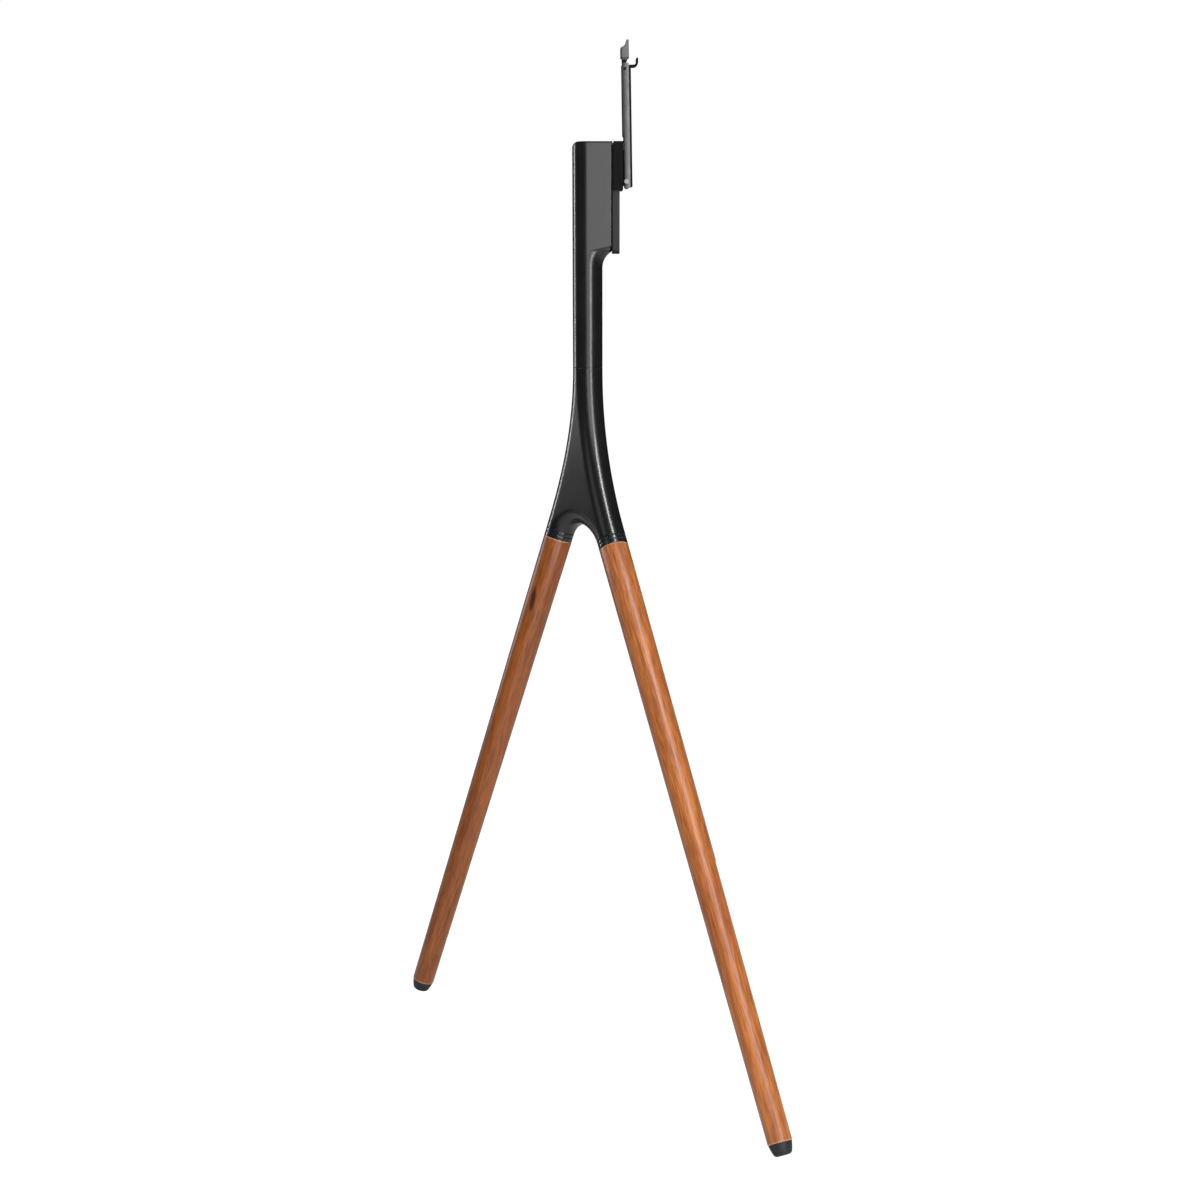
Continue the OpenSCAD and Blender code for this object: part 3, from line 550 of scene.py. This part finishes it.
# Surface of a distance field as quads: one point in each cell that it crosses
def surfaceOf(field, low, high, cell):
    size = np.ceil((high - low) / cell).astype(int) + 1
    index = np.stack(np.meshgrid(*[np.arange(n) for n in size], indexing="ij"), -1)
    value = field(low + index.reshape(-1, 3) * cell).reshape(size)
    corners = [(i, j, k) for i in (0, 1) for j in (0, 1) for k in (0, 1)]
    cells = size - 1

    def part(shift, array):
        return array[tuple(slice(shift[d], shift[d] + cells[d]) for d in range(3))]

    signs = np.stack([part(c, value) < 0 for c in corners])
    active = signs.any(0) & ~signs.all(0)
    number = np.full(cells, -1)
    number[active] = np.arange(active.sum())
    total, hits = np.zeros((*cells, 3)), np.zeros(cells)
    for a in corners:
        for d in range(3):
            if a[d]:
                continue
            b = tuple(a[i] + (i == d) for i in range(3))
            va, vb = part(a, value), part(b, value)
            crossed = (va < 0) != (vb < 0)
            share = np.where(crossed, va / np.where(crossed, va - vb, 1), 0)
            spot = np.array(a) + share[..., None] * (np.array(b) - np.array(a))
            total += spot * crossed[..., None]
            hits += crossed
    points = low + (index[:-1, :-1, :-1][active] + total[active] / hits[active][:, None]) * cell
    faces = []
    for d in range(3):
        u, v = (d + 1) % 3, (d + 2) % 3
        shift = [slice(1, None) if i != d else slice(0, cells[d]) for i in range(3)]
        here = value[tuple(slice(0, size[i] - 1) if i == d else slice(1, size[i] - 1) for i in range(3))]
        there = value[tuple(slice(1, size[i]) if i == d else slice(1, size[i] - 1) for i in range(3))]
        for spot in np.argwhere((here < 0) != (there < 0)):
            base = spot.copy()
            base[u] += 1
            base[v] += 1
            ring = []
            for du, dv in ((1, 1), (0, 1), (0, 0), (1, 0)):
                cellAt = base.copy()
                cellAt[u] -= du
                cellAt[v] -= dv
                ring.append(int(number[tuple(cellAt)]))
            faces.append(ring if here[tuple(spot)] < 0 else ring[::-1])
    return points, faces


def slopeOf(field, points):
    step = 0.2 * mm
    return np.stack([(field(points + step * axis) - field(points - step * axis)) / (2 * step)
                     for axis in np.eye(3)], -1)


def makeHub():
    low, high = (np.array(c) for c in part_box("leg_hub"))
    # A margin beyond every end plane, cut off again below
    pad = 3 * hub["cell"]
    low = low - pad - [0, 0, 12 * mm]
    high = high + pad + [0, 0, 2 * mm]
    points, faces = surfaceOf(hubDistance, low, high, hub["cell"])
    for _ in range(3):
        slope = slopeOf(hubDistance, points)
        points = points - slope * (hubDistance(points) / (slope * slope).sum(1))[:, None]
    mesh = bpy.data.meshes.new("smooth_hub")
    mesh.from_pydata([tuple(p) for p in points], [], faces)
    shell = bmesh.new()
    shell.from_mesh(mesh)
    planes = [(Vector((axisX, 0, seamZ)), Vector((0, 0, 1)))]
    planes += [(Vector(curve[3]), Vector(-up)) for curve, up in curves.values()]
    for spot, normal in planes:
        near = [f for f in shell.faces if (f.calc_center_median() - spot).length < hub["endReach"]]
        geometry = near + list({e for f in near for e in f.edges}) + list({v for f in near for v in f.verts})
        cut = bmesh.ops.bisect_plane(shell, geom=geometry, plane_co=spot, plane_no=normal, clear_outer=True)
        edges = [e for e in cut["geom_cut"] if isinstance(e, bmesh.types.BMEdge)]
        filled = bmesh.ops.contextual_create(shell, geom=edges)
        rim = list({e for f in filled["faces"] for e in f.edges})
        bmesh.ops.bevel(shell, geom=rim, offset=hub["rim"], segments=1, affect="EDGES", clamp_overlap=True)
    shell.to_mesh(mesh)
    shell.free()
    return settle("smooth_hub", mesh, "leg_hub", sharp=50.0)


makeHub()
print("hub cast")

# Column and head: round below, growing into a D above the hollow curve
head = {"cove": 26 * mm, "corner": 2.2 * mm, "shoulder": 9 * mm, "rearRound": 8 * mm, "rim": 0.35 * mm,
        "below": 1.0 * mm, "rearSteps": 16, "cornerSteps": 10, "flatSteps": 4,
        "capInset": 0.35 * mm, "capEase": 0.5 * mm}


# Plan of the column or head at one height, all round from the rear
def plan(front, cornerX, cornerY, grow=0.0):
    r = columnR + grow
    front += grow
    cornerY = min(cornerY, r)
    behind = [math.radians(90 * k / head["rearSteps"]) for k in range(head["rearSteps"] + 1)]
    around = [math.radians(90 * k / head["cornerSteps"]) for k in range(head["cornerSteps"] + 1)]
    half = [(-r * math.cos(t), r * math.sin(t)) for t in behind]
    half += [((front - cornerX) * k / head["flatSteps"], r) for k in range(1, head["flatSteps"])]
    half += [(front - cornerX * (1 - math.sin(t)), r - cornerY * (1 - math.cos(t))) for t in around]
    half += [(front, (r - cornerY) * (1 - k / head["flatSteps"])) for k in range(1, head["flatSteps"] + 1)]
    return half[:-1] + [(x, -y) for x, y in reversed(half[1:])]


def smooth(t):
    t = min(max(t, 0.0), 1.0)
    return t * t * (3 - 2 * t)


# How far a quarter round has drawn in, at a height above its start
def drawIn(radius, rise):
    return radius - math.sqrt(max(radius ** 2 - max(rise, 0.0) ** 2, 0.0))


def headRing(z, grow=0.0):
    front = frontX if z >= headLow else min(columnR + drawIn(head["cove"], z - coveZ), frontX)
    rear = drawIn(head["rearRound"], z - headTop + head["rearRound"]) - columnR
    share = smooth((z - headLow) / head["shoulder"])
    cornerX = front + (head["corner"] - front) * share
    cornerY = columnR + (head["corner"] - columnR) * share
    return [(axisX + max(x, rear - grow), y, z) for x, y in plan(front, cornerX, cornerY, grow)]


# The front face ends just below the spacer behind the rail
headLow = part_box("rail_spacer")[0][2] - head["below"]
coveTurn = math.acos((columnR + head["cove"] - frontX) / head["cove"])
coveZ = headLow - head["cove"] * math.sin(coveTurn)


def makeColumn():
    shoulderZ, roundZ = headLow + head["shoulder"], headTop - head["rearRound"]
    heights = [seamZ + head["rim"]]
    heights += list(np.linspace(seamZ + 10 * mm, coveZ, 8))
    heights += list(np.linspace(coveZ, headLow, 15))[1:]
    heights += list(np.linspace(headLow, shoulderZ, 13))[1:]
    heights += list(np.linspace(shoulderZ, roundZ, 7))[1:]
    heights += list(np.linspace(roundZ, capLow[2], 9))[1:]
    rings = [headRing(seamZ, -head["rim"])] + [headRing(z) for z in heights]
    points = [p for ring in rings for p in ring]
    piece("column_and_head", points, loftFaces(len(rings), len(rings[0])), "column", sharp=40.0)


# The cap's front edge is carried forward over the spacer, as far as the rail
def makeCap():
    low, high, ease = capLow[2], capHigh[2], head["capEase"]
    inset = -head["capInset"]
    rings = [headRing(z, inset) for z in np.linspace(low, high - ease, 7)]
    for turn in (math.radians(30), math.radians(60), math.radians(90)):
        rings.append(headRing(high - ease * (1 - math.sin(turn)), inset - ease * (1 - math.cos(turn))))
    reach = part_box("height_rail")[0][0] - axisX - frontX
    edge = axisX + frontX + inset - ease - 0.2 * mm
    points = [(x + reach if x > edge else x, y, z) for ring in rings for x, y, z in ring]
    piece("head_top_cap", points, loftFaces(len(rings), len(rings[0])), "head_cap", sharp=40.0)


makeColumn()
makeCap()
print("column and head lofted")

# Bracket pieces that keep their CAD shape, each with the width of its softened edges in millimetres
softEdges = {
    "height_rail": 0.35, "rail_stop": 0.5, "rail_spacer": 0.2, "carriage": 0.7, "slide_nut": 0.3,
    "height_screws": 0.4, "height_washers": 0.15, "tilt_washers": 0.15, "tilt_bushes": 0.1, "stop_pads": 0.4,
    "tilt_channel": 0.55, "hook_plate": 0.5, "plate_screws": 0.2, "plate_nuts": 0.3, "tilt_nut": 0.35,
    "release_tab": 0.6, "cap_screws": 0.12, "rail_screws": 0.2,
}
for node, width in softEdges.items():
    softened(node + "_finished", node, width * mm)

# Two upright ribs cast on the carriage's face, beside the clamping screws
rib = {"reach": 2.4 * mm, "inner": 7.5 * mm, "outer": 12.0 * mm, "gap": 1.5 * mm, "sunk": 0.6 * mm}


def addRibs(thing):
    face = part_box("height_washers")[0][0]
    back, front = face - rib["sunk"], face + rib["reach"]
    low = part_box("tilt_pin")[1][2] + rib["gap"]
    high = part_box("stop_pads")[0][2] - rib["gap"]
    shell = bmesh.new()
    shell.from_mesh(thing.data)
    for side in (-1, 1):
        inner, outer = side * rib["inner"], side * rib["outer"]
        corners = [(back, inner), (front, inner), (front, outer), (back, outer)]
        ends = [[shell.verts.new((x, y, z)) for x, y in corners] for z in (low, high)]
        faces = [shell.faces.new((ends[0][k], ends[0][k - 1], ends[1][k - 1], ends[1][k])) for k in range(4)]
        faces += [shell.faces.new(ring) for ring in ends]
        bmesh.ops.recalc_face_normals(shell, faces=faces)
    shell.to_mesh(thing.data)
    shell.free()
    thing.data.shade_smooth()
    thing.data.set_sharp_from_angle(angle=math.radians(35))


addRibs(bpy.data.objects["carriage_finished"])
print("bracket finished")

# Painted shade on the release tab: its neck colour paints it black below its grip and along its rear edge,
# where it lies in shadow
tab = {"grip": 26.5 * mm, "colour": (0.1, 0.1, 0.102), "shade": (0.08, 0.08, 0.082),
       "neck": (0.004, 0.004, 0.0042), "edge": 2.6 * mm, "blur": 0.3 * mm,
       "smearScale": 70.0, "skinScale": 1500.0, "skin": 0.15}


def tabMaterial():
    s = Shader("release_tab")
    place = s.place()
    low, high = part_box("release_tab")
    neck = high[2] - tab["grip"]
    smear = s.noise(place, tab["smearScale"], 4.0, 0.6)
    colour = s.mix(s.span(smear, 0.3, 0.7), tab["shade"], tab["colour"])
    # Painted shade along the rear edge
    shadedRearEdge = s.span(s.along(place, 0), low[0] + 0.6 * tab["edge"], low[0] + tab["edge"])
    colour = s.mix(shadedRearEdge, tab["neck"], colour)
    # Painted shade below the grip
    below = s.span(s.along(place, 2), neck - tab["blur"], neck + tab["blur"], 1.0, 0.0)
    return s.finish(
        Base_Color=s.mix(below, colour, tab["neck"]),
        Roughness=s.maths("MAXIMUM", s.span(smear, 0.3, 0.7, 0.4, 0.5), below),
        Normal=s.bump(s.noise(place, tab["skinScale"], 2.0), tab["skin"], 0.3 * mm),
    )


# Channel flanges: painted shade, darker towards the rear, where they turn away from the light; smears darken
# them at random as well
channel = {"lean": math.radians(1.0), "rear": 2.6 * mm, "front": 4.2 * mm, "colour": (0.19, 0.19, 0.192),
           "dark": (0.02, 0.02, 0.021), "smearScale": 60.0, "smear": 0.35, "skinScale": 1500.0, "skin": 0.12}


def channelMaterial():
    s = Shader("tilt_channel")
    place = s.place()
    pinX, _, pinZ = [(a + b) / 2 for a, b in zip(*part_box("tilt_pin"))]
    ahead = s.along(place, 0) - pinX + (s.along(place, 2) - pinZ) * math.tan(channel["lean"])
    share = s.span(ahead, -channel["rear"], channel["front"])
    smear = s.noise(place, channel["smearScale"], 4.0, 0.6)
    # Painted shade: dark at the flanges' rear, their own colour at the front
    colour = s.mix(share, channel["dark"], channel["colour"])
    colour = s.mix(s.span(smear, 0.35, 0.65, 0.0, channel["smear"]), colour, channel["dark"])
    return s.finish(
        Base_Color=colour,
        Roughness=s.span(share * 0.8 + smear * 0.2, 0.1, 0.9, 0.75, 0.4),
        Normal=s.bump(s.noise(place, channel["skinScale"], 2.0), channel["skin"], 0.3 * mm),
    )


materials["leg_wood"] = bpy.data.materials["rear_wood"]
materials["tilt_channel"] = channelMaterial()
materials["release_tab"] = tabMaterial()
for node in ("tilt_channel", "release_tab"):
    bpy.data.objects[node + "_finished"].data.materials[0] = materials[node]
for node, thing in nodes.items():
    thing.material_slots[0].material = materials[slotOf[node]]
print("bracket painted")

# Plain pale floor and soft studio light
studio = {"floor": (0.86, 0.86, 0.87), "floorHalf": 30.0, "floorGlow": 1.18, "floorShare": 0.88,
          "world": 0.012, "aim": (0, 0, 0.95)}
lamps = {
    "key": {"place": (1.3, -2.9, 1.4), "size": (0.38, 2.4), "power": 46.0},
    "keyTop": {"place": (0.9, -1.9, 3.1), "size": (0.3, 1.6), "power": 54.0},
    "wing": {"place": (0.1, -3.1, 1.6), "size": (1.1, 2.6), "power": 26.0},
    "strip": {"place": (-2.45, 1.35, 1.1), "size": (0.2, 1.2), "power": 16.0},
    "fill": {"place": (-2.4, -0.9, 2.7), "size": (2.0, 1.6), "power": 8.0},
    "over": {"place": (1.6, 2.4, 3.8), "size": (2.2, 2.2), "power": 60.0},
}


def stageFloor():
    half = studio["floorHalf"]
    corners = [(-half, -half, 0), (half, -half, 0), (half, half, 0), (-half, half, 0)]
    mesh = bpy.data.meshes.new("floor")
    mesh.from_pydata(corners, [], [(0, 1, 2, 3)])
    thing = bpy.data.objects.new("floor", mesh)
    bpy.context.collection.objects.link(thing)
    s = Shader("floor")
    mesh.materials.append(s.material)
    s.finish(Base_Color=studio["floor"], Roughness=0.9, Specular_IOR_Level=0.0)
    glow = s.add("ShaderNodeEmission", {}, {"Color": (1.0, 1.0, 1.0), "Strength": studio["floorGlow"]})
    seen = s.add("ShaderNodeLightPath", {}, {}, "Is Camera Ray")
    plain = Value(s, s.surface.outputs[0])
    both = s.add("ShaderNodeMixShader", {}, {0: seen * studio["floorShare"], 1: plain, 2: glow})
    s.tree.links.new(both.socket, s.tree.nodes["Material Output"].inputs[0])


def areaLight(name, lamp):
    data = bpy.data.lights.new(name, "AREA")
    data.shape = "RECTANGLE"
    data.size, data.size_y = lamp["size"]
    data.energy = lamp["power"]
    thing = bpy.data.objects.new(name, data)
    thing.location = lamp["place"]
    thing.rotation_euler = (Vector(studio["aim"]) - thing.location).to_track_quat("-Z", "Y").to_euler()
    bpy.context.collection.objects.link(thing)


def studioWorld():
    world = bpy.data.worlds.new("studio")
    bpy.context.scene.world = world
    bpy.context.scene.view_settings.view_transform = "Standard"
    world.use_nodes = True
    tree = world.node_tree
    back = tree.nodes["Background"]
    seen = tree.nodes.new("ShaderNodeLightPath")
    pick = tree.nodes.new("ShaderNodeMix")
    pick.data_type = "FLOAT"
    pick.inputs[2].default_value = studio["world"]
    pick.inputs[3].default_value = 1.0
    tree.links.new(seen.outputs["Is Camera Ray"], pick.inputs[0])
    tree.links.new(pick.outputs[0], back.inputs["Strength"])
    back.inputs["Color"].default_value = (1, 1, 1, 1)


stageFloor()
for name, lamp in lamps.items():
    areaLight(name, lamp)
studioWorld()

# Camera at the product view: level with the head, looking slightly down
shot = {"lens": 52.0, "sensor": 36.0, "back": 2.53, "left": 48.4 * mm, "height": 1.1,
        "down": 0.19, "turn": 0.026, "roll": -0.001}


def placeCamera():
    eye = bpy.data.cameras.new("camera")
    eye.lens = shot["lens"]
    eye.sensor_width = shot["sensor"]
    camera = bpy.data.objects.new("camera", eye)
    bpy.context.collection.objects.link(camera)
    level = math.cos(shot["down"])
    ahead = Vector((math.sin(shot["turn"]) * level, math.cos(shot["turn"]) * level, -math.sin(shot["down"])))
    aimed = ahead.to_track_quat("-Z", "Y").to_matrix().to_4x4() @ Matrix.Rotation(shot["roll"], 4, "Z")
    camera.matrix_world = Matrix.Translation((axisX - shot["left"], -shot["back"], shot["height"])) @ aimed
    bpy.context.scene.camera = camera


placeCamera()
print("studio set")
